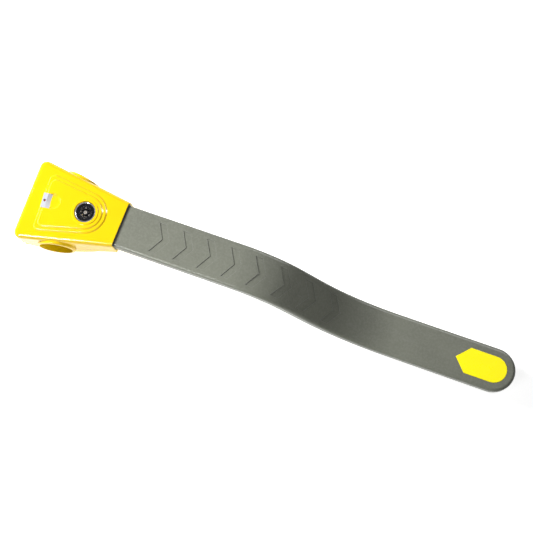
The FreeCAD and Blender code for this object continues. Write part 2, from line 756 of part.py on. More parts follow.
def striker():
    """The jaw's catch: a foot in the jaw and an upright with a window for the bolt."""
    back = STRIKER_X + STRIKER_T
    foot_top = STRIKER_LOW + STRIKER_T
    foot = box(STRIKER_FOOT_X, back, -STRIKER_HALF, STRIKER_HALF, STRIKER_LOW, foot_top)
    upright = box(STRIKER_X, back, -STRIKER_HALF, STRIKER_HALF, STRIKER_LOW, STRIKER_TOP)
    half = NOSE_HALF + 0.8
    window = box(STRIKER_X - 1, back + 1, -half, half, BOLT_LOW - 1, BOLT_LOW + BOLT_T + 0.8)
    catch = joined([foot, upright]).cut(window)
    for x, y in STRIKER_SCREWS:
        catch = catch.cut(disc(x, y, BELOW, 0, SCREW_WAY_R))
    return catch


def striker_screws():
    return [pan_screw(x, y, STRIKER_SEAT_Z, 1, STRIKER_SCREW) for x, y in STRIKER_SCREWS]


def hinge_bushes():
    inner = EAR_IN - EAR_GAP
    outer = EAR_OUT + EAR_GAP
    spans = [(KNUCKLE_MINUS, -outer), (-inner, inner), (outer, KNUCKLE_PLUS)]
    bushes = []
    for low, high in spans:
        tube = rod_y(HINGE_X, HINGE_Z, low, high, BUSH_R)
        bushes.append(tube.cut(rod_y(HINGE_X, HINGE_Z, -FAR, FAR, PIN_R + RUN_GAP)))
    return bushes


def hinge_pin():
    return rod_y(HINGE_X, HINGE_Z, KNUCKLE_MINUS - PIN_PROUD, KNUCKLE_PLUS + PIN_PROUD, PIN_R)


def back_cover():
    """The fixed underside between the jaw's end and the neck."""
    start = JAW_END_X + SEAM
    side = [(start, RAMP_LOW), (NECK_X, RAMP_HIGH), (NECK_X, PART_Z), (start, PART_Z)]
    ring = [Vector(x, -FAR, z) for x, z in side + side[:1]]
    wedge = Part.Face(Part.makePolygon(ring)).extrude(Vector(0, 2 * FAR, 0))
    body = soften_flanks(sharp_plan(BELOW, PART_Z).common(wedge), RAMP_EDGE_R, RAMP_EDGE_R_NECK)
    lid = head_prism(-WALL - 0.1, PART_Z, LID_TOP, CORNER_R - WALL)
    body = joined([body, lid.common(box(LID_X, NECK_X, -FAR, FAR, BELOW, ABOVE))])
    for x, y in BACK_SCREWS:
        body = body.cut(disc(x, y, BELOW, ABOVE, BACK_SCREW[0]))
        body = body.cut(disc(x, y, BELOW, BACK_SEAT_Z, BACK_SCREW[2] + 0.3))
    return body


def back_screws():
    return [pan_screw(x, y, BACK_SEAT_Z, 1, BACK_SCREW) for x, y in BACK_SCREWS]


# ---------------------------------------------------------------- arm

def arm_section(width, thick, corner, x):
    """The arm's section as a face across X, centred on the arm's middle height."""
    half_w = width / 2
    half_t = thick / 2
    corners = [(x, -half_w, ARM_MID - half_t), (x, half_w, ARM_MID - half_t),
               (x, half_w, ARM_MID + half_t), (x, -half_w, ARM_MID + half_t)]
    return Part.Face(rounded_outline(corners, [corner] * 4))


def arm_tip(width, thick, corner, x_mid, z_shift):
    """The half-round end: half the section turned about the upright through x_mid."""
    face = arm_section(width, thick, corner, x_mid)
    half = face.common(box(x_mid - 1, x_mid + 1, 0, width, BELOW, ABOVE))
    half.translate(Vector(0, 0, z_shift))
    return half.revolve(Vector(x_mid, 0, 0), Vector(0, 0, -1), 180)


def arm_solid(width, thick, corner, x_start, x_tip):
    """A bar of one section: level, over the first bend, down the ramp, up the second, level."""
    face = arm_section(width, thick, corner, x_start)
    pieces = [face.extrude(Vector(BEND_START - x_start, 0, 0))]
    face = arm_section(width, thick, corner, BEND_START)
    turn = Vector(BEND_START, 0, ARM_MID - BEND1_R)
    pieces.append(face.revolve(turn, ALONG_Y, BEND_ANGLE))
    face.rotate(turn, ALONG_Y, BEND_ANGLE)
    angle = math.radians(BEND_ANGLE)
    down = Vector(math.cos(angle), 0, -math.sin(angle)) * RAMP
    pieces.append(face.extrude(down))
    face.translate(down)
    turn = Vector(LOW_X, 0, LOW_Z)
    pieces.append(face.revolve(turn, ALONG_Y * -1, BEND_ANGLE))
    face = arm_section(width, thick, corner, LOW_X)
    face.translate(Vector(0, 0, -ARM_DROP))
    x_mid = x_tip - width / 2
    pieces.append(face.extrude(Vector(x_mid - LOW_X, 0, 0)))
    pieces.append(arm_tip(width, thick, corner, x_mid, -ARM_DROP))
    return joined(pieces)


def arm_core():
    core = arm_solid(CORE_W, CORE_T, CORE_EDGE_R, CORE_START, TIP_X - CORE_TIP_GAP)
    for x, y in RIVETS:
        core = core.cut(disc(x, y, 0, ABOVE, RIVET_R))
    return core


def chevron(x):
    points = [(x, -CHEVRON_HALF), (x + CHEVRON_WIDE, -CHEVRON_HALF),
              (x + CHEVRON_WIDE + CHEVRON_LEAN, 0), (x + CHEVRON_WIDE, CHEVRON_HALF),
              (x, CHEVRON_HALF), (x + CHEVRON_LEAN, 0)]
    ring = [Vector(px, py, -120) for px, py in points + points[:1]]
    return Part.Face(Part.makePolygon(ring)).extrude(Vector(0, 0, 200))


def inlay_outline(shrink, z0, z1):
    """The tip's inlay: pointed towards the head, half-round towards the tip."""
    x_mid = TIP_X - ARM_W / 2
    radius = INLAY_R - shrink
    shoulder = x_mid - INLAY_SIDE
    points = [Vector(x_mid, radius, z0), Vector(shoulder, radius, z0),
              Vector(shoulder - INLAY_POINT + shrink, 0, z0), Vector(shoulder, -radius, z0),
              Vector(x_mid, -radius, z0)]
    edges = [line(points[i], points[i + 1]) for i in range(4)]
    edges.append(Part.Arc(points[4], Vector(x_mid + radius, 0, z0), points[0]).toShape())
    return Part.Face(Part.Wire(edges)).extrude(Vector(0, 0, z1 - z0))


def arm_sleeve():
    outer = arm_solid(ARM_W, ARM_T, ARM_EDGE_R, ARM_START, TIP_X)
    lowered = outer.copy()
    lowered.translate(Vector(0, 0, -CHEVRON_DEEP))
    sleeve = outer
    for i in range(CHEVRONS):
        mark = chevron(CHEVRON_FIRST + i * CHEVRON_PITCH)
        sleeve = sleeve.cut(mark.cut(lowered))
    top = ARM_TOP - ARM_DROP
    sleeve = sleeve.cut(inlay_outline(0, top - INLAY_T, top + 1))
    return sleeve.cut(arm_solid(CORE_W, CORE_T, CORE_EDGE_R, CORE_START, TIP_X - CORE_TIP_GAP))


def end_inlay():
    top = ARM_TOP - ARM_DROP
    inlay = inlay_outline(INLAY_GAP, top - INLAY_T, top + INLAY_PROUD)
    return inlay.makeFillet(INLAY_EDGE_R, top_edges(inlay, top + INLAY_PROUD))


def arm_spacer():
    block = box(*SPACER_X, -SPACER_HALF, SPACER_HALF, ARM_MID + CORE_T / 2, FRAME_LOW)
    for x, y in RIVETS:
        block = block.cut(disc(x, y, 0, ABOVE, RIVET_R))
    return block


def arm_rivets():
    rivets = []
    for x, y in RIVETS:
        low = ARM_MID - CORE_T / 2
        shank = disc(x, y, low, FRAME_TOP, RIVET_R)
        rivets.append(joined([shank, disc(x, y, low - RIVET_HEAD_T, low, RIVET_HEAD_R)]))
    return rivets


def neck_gasket():
    far = NECK_X + GASKET_T
    half = GASKET_HALF
    corners = [(NECK_X, -half), (far, -half), (far, half), (NECK_X, half)]
    frame = prism(corners, [GASKET_CORNER_R] * 4, *GASKET_Z)
    return frame.cut(neck_window(0.1, NECK_X - 5, NECK_X + 5))


PARTS = {
    "head_cover": head_cover,
    "back_cover": back_cover,
    "back_screws": back_screws,
    "head_frame": head_frame,
    "cover_screws": cover_screws,
    "housing_screws": housing_screws,
    "upper_pad": upper_pad,
    "led_bezel": led_bezel,
    "led_lamp": led_lamp,
    "led_board": led_board,
    "button_cells": lambda: cell_shapes(0.0),
    "battery_holder": battery_holder,
    "lock_housing": lock_housing,
    "bolt_plate": bolt_plate,
    "plate_screws": plate_screws,
    "lock_bezel": lock_bezel,
    "cylinder_shell": cylinder_shell,
    "cylinder_plug": cylinder_plug,
    "key_pins": key_pins,
    "plug_cam": plug_cam,
    "cam_screw": cam_screw,
    "latch_bolt": latch_bolt,
    "jaw_shell": jaw_shell,
    "lower_pad": lower_pad,
    "striker": striker,
    "striker_screws": striker_screws,
    "hinge_bushes": hinge_bushes,
    "hinge_pin": hinge_pin,
    "arm_core": arm_core,
    "arm_sleeve": arm_sleeve,
    "end_inlay": end_inlay,
    "arm_spacer": arm_spacer,
    "arm_rivets": arm_rivets,
    "neck_gasket": neck_gasket,
}


def main():
    os.makedirs("parts", exist_ok=True)
    for name, make in PARTS.items():
        made = make()
        if isinstance(made, list):
            made = Part.makeCompound(made)
        made.rotate(Vector(0, 0, 0), ALONG_Y, -math.degrees(PITCH))
        made.exportStep("parts/" + name + ".step")
        print(name, made.isValid(), len(made.Solids), round(made.Volume))
    print("pitch", math.degrees(PITCH), "floor", FLOOR)


main()
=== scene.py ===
import json
import math

import bmesh
import bpy
from mathutils import Euler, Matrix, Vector


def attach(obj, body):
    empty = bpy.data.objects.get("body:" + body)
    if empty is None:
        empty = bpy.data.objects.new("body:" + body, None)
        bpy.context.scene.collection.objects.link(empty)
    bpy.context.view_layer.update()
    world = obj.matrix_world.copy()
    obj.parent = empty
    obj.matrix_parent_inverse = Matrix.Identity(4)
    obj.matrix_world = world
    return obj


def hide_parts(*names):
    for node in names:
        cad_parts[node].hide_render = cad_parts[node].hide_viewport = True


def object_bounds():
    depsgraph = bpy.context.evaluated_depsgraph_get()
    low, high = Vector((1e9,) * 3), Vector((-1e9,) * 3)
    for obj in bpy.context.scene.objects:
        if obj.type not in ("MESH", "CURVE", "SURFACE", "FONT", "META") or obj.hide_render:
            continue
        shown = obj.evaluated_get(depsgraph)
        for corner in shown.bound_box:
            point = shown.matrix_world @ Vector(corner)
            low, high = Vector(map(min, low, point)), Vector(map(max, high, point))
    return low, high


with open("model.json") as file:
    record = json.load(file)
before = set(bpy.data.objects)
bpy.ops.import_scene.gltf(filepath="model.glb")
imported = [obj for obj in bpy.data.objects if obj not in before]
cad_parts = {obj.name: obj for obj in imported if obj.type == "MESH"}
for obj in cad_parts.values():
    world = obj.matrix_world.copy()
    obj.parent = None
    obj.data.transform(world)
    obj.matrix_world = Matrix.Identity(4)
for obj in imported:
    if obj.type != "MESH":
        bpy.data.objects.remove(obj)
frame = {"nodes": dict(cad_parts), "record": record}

CAD_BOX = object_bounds()
RECORD = frame["record"]
NODES = frame["nodes"]
MM = 0.001


def joint(name):
    """The record's entry for a joint."""
    return [j for j in RECORD["behaviour"]["joints"] if j["name"] == name][0]


# The head's own axes: upright along the lock cylinder, ahead along the bolt, across along the rim
UPRIGHT = Vector(joint("lock_turn")["axis"])
AHEAD = Vector(joint("bolt_slide")["axis"])
ACROSS = Vector(joint("jaw_hinge")["axis"])
LOCK_CENTRE = Vector(joint("lock_turn")["pos_m"])
RIM_R = RECORD["mounts"][0]["dims"]["r_mm"] * MM
BODY_OF = {node: body for body, nodes in RECORD["behaviour"]["bodies"].items() for node in nodes}
SLOT_OF = {part["node"]: part["material_slot"] for part in RECORD["subparts"]}


# ---------------------------------------------------------------- material tools

EDGE_FROM = 0.985    # how well the rounded and true normals agree where wear starts
EDGE_FULL = 0.90     # and where it is full
OPEN_LIGHT = 0.85    # the open share of the sky where the dust and the painted shade in corners start
SHUT_LIGHT = 0.25    # and where they are thickest


class Shader:
    """One material's node tree, with short calls for the nodes that this scene uses."""

    def __init__(self, name):
        self.material = bpy.data.materials.new(name)
        self.material.use_nodes = True
        self.tree = self.material.node_tree
        self.surface = self.tree.nodes["Principled BSDF"]
        self.place = self.tree.nodes.new("ShaderNodeTexCoord").outputs["Object"]

    def node(self, kind, **settings):
        """A new node with the given settings."""
        made = self.tree.nodes.new(kind)
        for key, value in settings.items():
            setattr(made, key, value)
        return made

    def link(self, source, target):
        self.tree.links.new(source, target)

    def set(self, **values):
        """Plain values on the surface's own sockets."""
        for key, value in values.items():
            self.surface.inputs[key.replace("_", " ")].default_value = value

    def noise(self, size, detail=3.0, rough=0.5, stretch=(1, 1, 1)):
        """Noise whose features are about size metres across, from 0 to 1."""
        spread = self.node("ShaderNodeMapping")
        spread.inputs["Scale"].default_value = stretch
        self.link(self.place, spread.inputs["Vector"])
        made = self.node("ShaderNodeTexNoise")
        made.inputs["Scale"].default_value = 1.0 / size
        made.inputs["Detail"].default_value = detail
        made.inputs["Roughness"].default_value = rough
        self.link(spread.outputs["Vector"], made.inputs["Vector"])
        return made.outputs["Fac"]

    def ramp(self, source, low, high, low_value=0.0, high_value=1.0):
        """Source rescaled so that low gives low_value and high gives high_value."""
        made = self.node("ShaderNodeMapRange")
        made.inputs["From Min"].default_value = low
        made.inputs["From Max"].default_value = high
        made.inputs["To Min"].default_value = low_value
        made.inputs["To Max"].default_value = high_value
        self.link(source, made.inputs["Value"])
        return made.outputs["Result"]

    def maths(self, operation, first, second):
        """A sum on two numbers or sockets, held between 0 and 1."""
        made = self.node("ShaderNodeMath", operation=operation, use_clamp=True)
        for i, value in enumerate((first, second)):
            if isinstance(value, (int, float)):
                made.inputs[i].default_value = value
            else:
                self.link(value, made.inputs[i])
        return made.outputs["Value"]

    def mix(self, factor, first, second):
        """A colour between first and second; each is a colour or a socket."""
        made = self.node("ShaderNodeMix", data_type="RGBA")
        self.link(factor, made.inputs["Factor"])
        for socket, value in (("A", first), ("B", second)):
            target = [i for i in made.inputs if i.name == socket and i.type == "RGBA"][0]
            if isinstance(value, tuple):
                target.default_value = (*value, 1.0)
            else:
                self.link(value, target)
        return [o for o in made.outputs if o.type == "RGBA"][0]

    def colour(self, source):
        self.link(source, self.surface.inputs["Base Color"])

    def roughness(self, source):
        self.link(source, self.surface.inputs["Roughness"])

    def bump(self, height, depth, strength=1.0):
        """Relief of the given depth in metres; a second call adds to the first."""
        made = self.node("ShaderNodeBump")
        made.inputs["Distance"].default_value = depth
        made.inputs["Strength"].default_value = strength
        self.link(height, made.inputs["Height"])
        earlier = self.surface.inputs["Normal"].links
        if earlier:
            self.link(earlier[0].from_socket, made.inputs["Normal"])
        self.link(made.outputs["Normal"], self.surface.inputs["Normal"])

    def scaled(self, source, factor):
        """Source times a number, with no limits."""
        made = self.node("ShaderNodeMath", operation="MULTIPLY")
        self.link(source, made.inputs[0])
        made.inputs[1].default_value = factor
        return made.outputs["Value"]

    def from_axis(self, centre, axis):
        """Distance in metres from the line through centre along a unit axis."""
        away = self.node("ShaderNodeVectorMath", operation="SUBTRACT")
        self.link(self.place, away.inputs[0])
        away.inputs[1].default_value = centre
        across = self.node("ShaderNodeVectorMath", operation="CROSS_PRODUCT")
        self.link(away.outputs["Vector"], across.inputs[0])
        across.inputs[1].default_value = axis
        length = self.node("ShaderNodeVectorMath", operation="LENGTH")
        self.link(across.outputs["Vector"], length.inputs[0])
        return length.outputs["Value"]

    def worn_edge(self, radius):
        """1 on edges sharper than radius, 0 on flats."""
        rounded = self.node("ShaderNodeBevel", samples=4)
        rounded.inputs["Radius"].default_value = radius
        flat = self.node("ShaderNodeNewGeometry")
        made = self.node("ShaderNodeVectorMath", operation="DOT_PRODUCT")
        self.link(rounded.outputs["Normal"], made.inputs[0])
        self.link(flat.outputs["Normal"], made.inputs[1])
        return self.ramp(made.outputs["Value"], EDGE_FROM, EDGE_FULL)

    def crevice(self, reach):
        """1 in corners and grooves within reach, 0 in the open: the mask for painted shade on the
        enamel and arm coat, and for dust on the mouldings.
        """
        made = self.node("ShaderNodeAmbientOcclusion", samples=4)
        made.inputs["Distance"].default_value = reach
        return self.ramp(made.outputs["AO"], OPEN_LIGHT, SHUT_LIGHT)


# ---------------------------------------------------------------- materials

def enamel(name, light, deep):
    """Glossy stoved yellow: faint orange peel, cloudier colour and painted shade in the corners."""
    s = Shader(name)
    cloud = s.ramp(s.noise(28 * MM, 2.0), 0.35, 0.65)
    tone = s.mix(cloud, light, deep)
    # Painted shade: corners and grooves that the ambient occlusion mask finds shut in turn a darker
    # orange, broken up by noise.
    painted_shade = s.maths("MULTIPLY", s.crevice(2.5 * MM), s.noise(3 * MM, 4.0))
    tone = s.mix(s.maths("MULTIPLY", painted_shade, 0.35), tone, (0.60, 0.33, 0.0))
    s.colour(tone)
    s.roughness(s.ramp(s.noise(6 * MM, 5.0, 0.6), 0.3, 0.7, 0.17, 0.27))
    s.bump(s.noise(3.6 * MM, 1.0), 0.006 * MM, 0.5)
    s.set(IOR=1.35, Coat_Weight=0.35, Coat_Roughness=0.09, Coat_IOR=1.5)
    return s.material


def inlay_with_painted_glow(name):
    """The tip's high-visibility inlay: bright yellow, with a faint painted glow that lifts it under
    any light.
    """
    s = Shader(name)
    cloud = s.ramp(s.noise(9 * MM, 2.0), 0.35, 0.65)
    tone = s.mix(cloud, (1.0, 0.90, 0.0), (0.98, 0.87, 0.0))
    rub = s.maths("MULTIPLY", s.worn_edge(0.4 * MM), 0.4)
    s.colour(s.mix(rub, tone, (0.95, 0.90, 0.45)))
    s.roughness(s.ramp(s.noise(2 * MM, 4.0), 0.3, 0.7, 0.25, 0.38))
    s.bump(s.noise(1.4 * MM, 2.0), 0.008 * MM, 0.5)
    # Painted glow: the inlay gives off a little light of its own.
    s.set(Emission_Color=(1.0, 0.86, 0.0, 1.0), Emission_Strength=0.2)
    return s.material


def arm_coat(name):
    """Satin grey-green moulding with a fine grain, handling marks, paler rubbed edges and painted
    shade in its grooves.
    """
    s = Shader(name)
    cloud = s.ramp(s.noise(45 * MM, 3.0), 0.3, 0.7)
    tone = s.mix(cloud, (0.185, 0.193, 0.156), (0.160, 0.167, 0.136))
    speck = s.ramp(s.noise(2.4 * MM, 4.0), 0.4, 0.65)
    tone = s.mix(s.maths("MULTIPLY", speck, 0.45), tone, (0.225, 0.232, 0.196))
    scuff = s.ramp(s.noise(9 * MM, 6.0, 0.7, (0.12, 1.6, 1.0)), 0.58, 0.75)
    tone = s.mix(s.maths("MULTIPLY", scuff, 0.3), tone, (0.28, 0.285, 0.26))
    tone = s.mix(s.maths("MULTIPLY", s.worn_edge(1.2 * MM), 0.5), tone, (0.32, 0.33, 0.30))
    # Painted shade: corners and grooves that the ambient occlusion mask finds shut in darken almost
    # to black.
    tone = s.mix(s.maths("MULTIPLY", s.crevice(1.2 * MM), 0.6), tone, (0.07, 0.07, 0.06))
    s.colour(tone)
    s.roughness(s.ramp(s.noise(5 * MM, 4.0), 0.3, 0.7, 0.30, 0.42))
    s.bump(s.noise(0.9 * MM, 3.0), 0.04 * MM, 0.6)
    s.bump(s.noise(2.8 * MM, 3.0), 0.07 * MM, 0.6)
    s.bump(scuff, 0.01 * MM, 0.3)
    s.set(IOR=1.33)
    return s.material


def plated_steel(name, base, rough=0.3, stretch=(0.1, 1, 1)):
    """Zinc-plated or ground steel with directional scratches and dull patches."""
    s = Shader(name)
    grain = s.noise(0.6 * MM, 4.0, 0.6, stretch)
    dark = tuple(0.6 * c for c in base)
    tone = s.mix(s.ramp(grain, 0.3, 0.75), dark, base)
    stain = s.ramp(s.noise(7 * MM, 5.0, 0.65), 0.55, 0.8)
    tone = s.mix(s.maths("MULTIPLY", stain, 0.5), tone, (0.30, 0.27, 0.22))
    s.colour(tone)
    s.roughness(s.ramp(grain, 0.3, 0.7, rough - 0.08, rough + 0.14))
    s.bump(grain, 0.015 * MM, 0.5)
    s.set(Metallic=1.0)
    return s.material


def chrome(name):
    """Bright plating with a few hair scratches and water marks."""
    s = Shader(name)
    hair = s.ramp(s.noise(1.5 * MM, 6.0, 0.75, (0.2, 2.5, 1)), 0.6, 0.75)
    mark = s.ramp(s.noise(3 * MM, 3.0), 0.45, 0.75)
    s.colour(s.mix(mark, (0.74, 0.74, 0.75), (0.60, 0.61, 0.63)))
    s.roughness(s.maths("ADD", s.maths("MULTIPLY", hair, 0.2), 0.14))
    s.bump(hair, 0.004 * MM, 0.4)
    s.set(Metallic=1.0)
    return s.material


TURNED_PITCH = 0.45 * MM    # between the turned rings on the lock's face


def lock_black(name):
    """The cylinder's blackened brass: satin, turned in rings, bright where the key has rubbed."""
    s = Shader(name)
    grain = s.noise(0.5 * MM, 4.0)
    away = s.from_axis(LOCK_CENTRE, UPRIGHT)
    rub = s.maths("MULTIPLY", s.worn_edge(0.5 * MM), s.ramp(s.noise(1.2 * MM), 0.50, 0.62))
    middle = s.ramp(away, 2.1 * MM, 1.7 * MM)
    post = s.maths("MULTIPLY", middle, s.ramp(s.noise(1.0 * MM), 0.3, 0.5))
    ring = s.maths("MULTIPLY", s.ramp(away, 4.0 * MM, 4.4 * MM), s.ramp(away, 5.8 * MM, 5.4 * MM))
    worn_ring = s.maths("MULTIPLY", ring, s.ramp(s.noise(2.6 * MM, 2.0), 0.52, 0.56))
    bare = s.maths("MAXIMUM", s.maths("MAXIMUM", rub, post), worn_ring)
    s.colour(s.mix(bare, (0.005, 0.005, 0.007), (0.92, 0.86, 0.78)))
    s.link(bare, s.surface.inputs["Metallic"])
    s.roughness(s.ramp(grain, 0.3, 0.7, 0.20, 0.32))
    turned = s.node("ShaderNodeMath", operation="SINE")
    s.link(s.scaled(away, 2 * math.pi / TURNED_PITCH), turned.inputs[0])
    s.bump(turned.outputs["Value"], 0.006 * MM, 0.6)
    s.bump(grain, 0.008 * MM, 0.5)
    s.set(IOR=1.35)
    return s.material


def moulded(name, base, rough=0.5, grain_size=0.5 * MM, relief=0.02 * MM):
    """Moulded plastic or rubber: fine spark-eroded grain and slight clouding."""
    s = Shader(name)
    grain = s.noise(grain_size, 3.0)
    pale = tuple(min(1.0, 1.35 * c + 0.01) for c in base)
    tone = s.mix(s.ramp(s.noise(12 * MM, 3.0), 0.3, 0.7), base, pale)
    dust = s.maths("MULTIPLY", s.crevice(1.5 * MM), s.noise(2 * MM, 4.0))
    tone = s.mix(s.maths("MULTIPLY", dust, 0.4), tone, (0.22, 0.20, 0.17))
    s.colour(tone)
    s.roughness(s.ramp(grain, 0.3, 0.7, rough - 0.08, rough + 0.1))
    s.bump(grain, relief, 0.7)
    return s.material


def silver_plate(name):
    """Silver-lacquered window plate with fine brush lines along Y."""
    s = Shader(name)
    brush = s.noise(0.35 * MM, 4.0, 0.6, (1, 0.06, 1))
    s.colour(s.mix(s.ramp(brush, 0.3, 0.7), (0.50, 0.52, 0.58), (0.58, 0.60, 0.66)))
    s.roughness(s.ramp(brush, 0.3, 0.7, 0.30, 0.44))
    s.bump(brush, 0.01 * MM, 0.4)
    s.set(Metallic=0.15)
    return s.material


def red_lens(name):
    """Deep red lamp seen through its window."""
    s = Shader(name)
    depth = s.noise(0.8 * MM, 2.0)
    s.colour(s.mix(depth, (0.22, 0.02, 0.01), (0.5, 0.06, 0.03)))
    s.roughness(s.ramp(depth, 0.3, 0.7, 0.08, 0.16))
    s.set(Coat_Weight=0.8)
    return s.material


def board(name):
    """Green board with copper tracks under the mask."""
    s = Shader(name)
    track = s.ramp(s.noise(2.4 * MM, 0.0, 0.5, (1, 3, 1)), 0.5, 0.52)
    s.colour(s.mix(track, (0.01, 0.12, 0.05), (0.04, 0.24, 0.09)))
    s.roughness(s.ramp(s.noise(1 * MM), 0.3, 0.7, 0.25, 0.4))
    s.bump(track, 0.03 * MM, 0.5)
    return s.material


def paint_nodes():
    """Each CAD node takes its slot's material; the tip's inlay has a brighter one of its own, with
    a painted glow.
    """
    finishes = {
        "yellow_cast": enamel("yellow_enamel", (0.80, 0.545, 0.0), (0.78, 0.525, 0.0)),
        "yellow_plastic": enamel("yellow_moulding", (0.82, 0.56, 0.0), (0.80, 0.54, 0.0)),
        "arm_grey": arm_coat("grey_arm_coat"),
        "steel": plated_steel("zinc_plate", (0.62, 0.63, 0.65)),
        "black_steel": plated_steel("blacked_steel", (0.05, 0.05, 0.055), 0.38),
        "zinc_cast": plated_steel("zinc_casting", (0.42, 0.42, 0.41), 0.5, (1, 1, 1)),
        "chrome": chrome("bright_chrome"),
        "lock_black": lock_black("lock_black_brass"),
        "brass": plated_steel("turned_brass", (0.75, 0.55, 0.24), 0.25),
        "silver_trim": silver_plate("silver_window"),
        "red_lens": red_lens("red_lamp"),
        "board_green": board("board_mask"),
        "black_plastic": moulded("black_moulding", (0.02, 0.02, 0.022), 0.45),
        "pad_rubber": moulded("pad_rubber", (0.022, 0.022, 0.022), 0.7, 0.35 * MM, 0.04 * MM),
        "bronze": plated_steel("oiled_bronze", (0.48, 0.30, 0.13), 0.4),
    }
    for name, piece in NODES.items():
        piece.data.materials.clear()
        piece.data.materials.append(finishes[SLOT_OF[name]])
    NODES["end_inlay"].data.materials[0] = inlay_with_painted_glow("high_visibility_inlay_painted_glow")
    return finishes


# ---------------------------------------------------------------- detailed pieces

TOUCH = 1e-5    # metres: points this near an end are on it


def islands(name):
    """The points of each separate solid of a CAD node."""
    mesh = bmesh.new()
    mesh.from_mesh(NODES[name].data)
    bmesh.ops.remove_doubles(mesh, verts=mesh.verts, dist=1e-6)
    left = set(mesh.verts)
    found = []
    while left:
        start = min(left, key=lambda vert: vert.index)
        left.discard(start)
        group = []
        queue = [start]
        while queue:
            vert = queue.pop()
            group.append(vert.co.copy())
            for edge in vert.link_edges:
                other = edge.other_vert(vert)
                if other in left:
                    left.discard(other)
                    queue.append(other)
        found.append(group)
    mesh.free()
    return found


def span(points, axis):
    """Lowest and highest place of the points along an axis."""
    places = [point.dot(axis) for point in points]
    return min(places), max(places)


def axis_foot(points, axis):
    """The point on the solid's own axis that has no height along it."""
    side = AHEAD if abs(axis.dot(AHEAD)) < 0.5 else UPRIGHT
    other = axis.cross(side)
    foot = Vector((0, 0, 0))
    for line in (side, other):
        foot += line * (sum(span(points, line)) / 2)
    return foot


def reach_from(point, foot):
    """How far a point is from the upright line through foot."""
    return (point - foot - UPRIGHT * point.dot(UPRIGHT)).length


def skin(levels, count):
    """Faces of a closed solid of that many levels, with count points on each."""
    faces = [tuple(reversed(range(count)))]
    for k in range(levels - 1):
        for i in range(count):
            j = (i + 1) % count
            faces.append((k * count + i, k * count + j, (k + 1) * count + j, (k + 1) * count + i))
    last = (levels - 1) * count
    faces.append(tuple(last + i for i in range(count)))
    return faces


def turned_mesh(rings, foot, axis, count):
    """Points and faces of a closed solid of rings.

    Each ring is a height with a radius, or with a function that gives the radius at a turn.
    """
    side = axis.orthogonal().normalized()
    other = axis.cross(side)
    points = []
    for height, radius in rings:
        for i in range(count):
            turn = 2 * math.pi * i / count
            reach = radius(turn) if callable(radius) else radius
            out = side * math.cos(turn) + other * math.sin(turn)
            points.append(foot + axis * height + out * reach)
    return points, skin(len(rings), count)


SHARP_ANGLE = math.radians(38)    # edges turning by more than this stay crisp


def make_piece(name, parts, node, materials):
    """One object from several meshes, in place of a CAD node and on its body."""
    points = []
    faces = []
    for part_points, part_faces in parts:
        base = len(points)
        points += part_points
        faces += [tuple(base + i for i in face) for face in part_faces]
    mesh = bpy.data.meshes.new(name)
    mesh.from_pydata(points, [], faces)
    shape = bmesh.new()
    shape.from_mesh(mesh)
    bmesh.ops.recalc_face_normals(shape, faces=shape.faces)
    shape.to_mesh(mesh)
    shape.free()
    mesh.shade_smooth()
    mesh.set_sharp_from_angle(angle=SHARP_ANGLE)
    mesh.materials.append(materials[SLOT_OF[node]])
    piece = bpy.data.objects.new(name, mesh)
    bpy.context.scene.collection.objects.link(piece)
    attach(piece, BODY_OF[node])
    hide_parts(node)


THREAD_PITCH = 0.8 * MM
THREAD_DEPTH = 0.13     # of the shank's radius
THREAD_LEVELS = 6       # to each turn of the thread
THREAD_START = 0.8 * MM    # below the seat
THREAD_END = 0.6 * MM      # above the tip
RECESS_R = 0.40         # of the head's radius
RECESS_LOBE = 0.17      # how far each lobe stands out, of the recess's radius
RECESS_DEPTH = 0.55     # of the head's height
RECESS_TOP = 0.02       # where its edge is, down from the head's top
CROWN_R = 0.62          # the flat on top of the head, of its radius
CROWN_DROP = 0.55       # the height of the rounding beside it, of the head's height


def screw_rings(head_end, seat, tip, head_r, shank_r):
    """A pan head with a six-lobed recess, and a rolled thread down to a chamfered tip."""
    way = 1 if tip > seat else -1
    head_h = abs(seat - head_end)
    lobed = head_r * RECESS_R

    def recess(turn):
        return lobed * (1 + RECESS_LOBE * math.cos(6 * turn))

    rings = [(head_end + way * RECESS_DEPTH * head_h, recess)]
    rings.append((head_end + way * RECESS_TOP * head_h, recess))
    for k in range(6):
        turn = math.radians(18 * k)
        drop = CROWN_DROP * head_h * (1 - math.cos(turn))
        rings.append((head_end + way * drop, head_r * (CROWN_R + (1 - CROWN_R) * math.sin(turn))))
    rings.append((seat, head_r))
    rings.append((seat, shank_r))
    depth = THREAD_DEPTH * shank_r
    start = seat + way * THREAD_START
    end = tip - way * THREAD_END
    rings.append((start, shank_r))
    steps = max(6, int(abs(end - start) / THREAD_PITCH * THREAD_LEVELS))
    for k in range(1, steps):
        height = start + (end - start) * k / steps
        rings.append((height, thread(height, shank_r, depth)))
    rings.append((end, shank_r - depth))
    rings.append((tip, shank_r * 0.7))
    return rings


def thread(height, shank_r, depth):
    """The radius round one level of a helical thread."""
    def radius(turn):
        wave = math.cos(2 * math.pi * height / THREAD_PITCH - turn)
        return shank_r - depth * (0.5 - 0.5 * wave)
    return radius


def screws(node, name, materials):
    """Screws with recesses and threads, sized from the CAD screws that they stand for."""
    parts = []
    for points in islands(node):
        foot = axis_foot(points, UPRIGHT)
        low, high = span(points, UPRIGHT)
        far = {}
        for point in points:
            height = round(point.dot(UPRIGHT), 6)
            far[height] = max(reach_from(point, foot), far.get(height, 0))
        head_r = max(far.values())
        head_heights = [height for height, reach in far.items() if reach > 0.98 * head_r]
        at_top = max(head_heights) > high - TOUCH
        head_end, tip = (high, low) if at_top else (low, high)
        seat = min(head_heights) if at_top else max(head_heights)
        shank_r = far[round(tip, 6)]
        rings = screw_rings(head_end, seat, tip, head_r, shank_r)
        parts.append(turned_mesh(rings, foot, UPRIGHT, 36))
    make_piece(name, parts, node, materials)


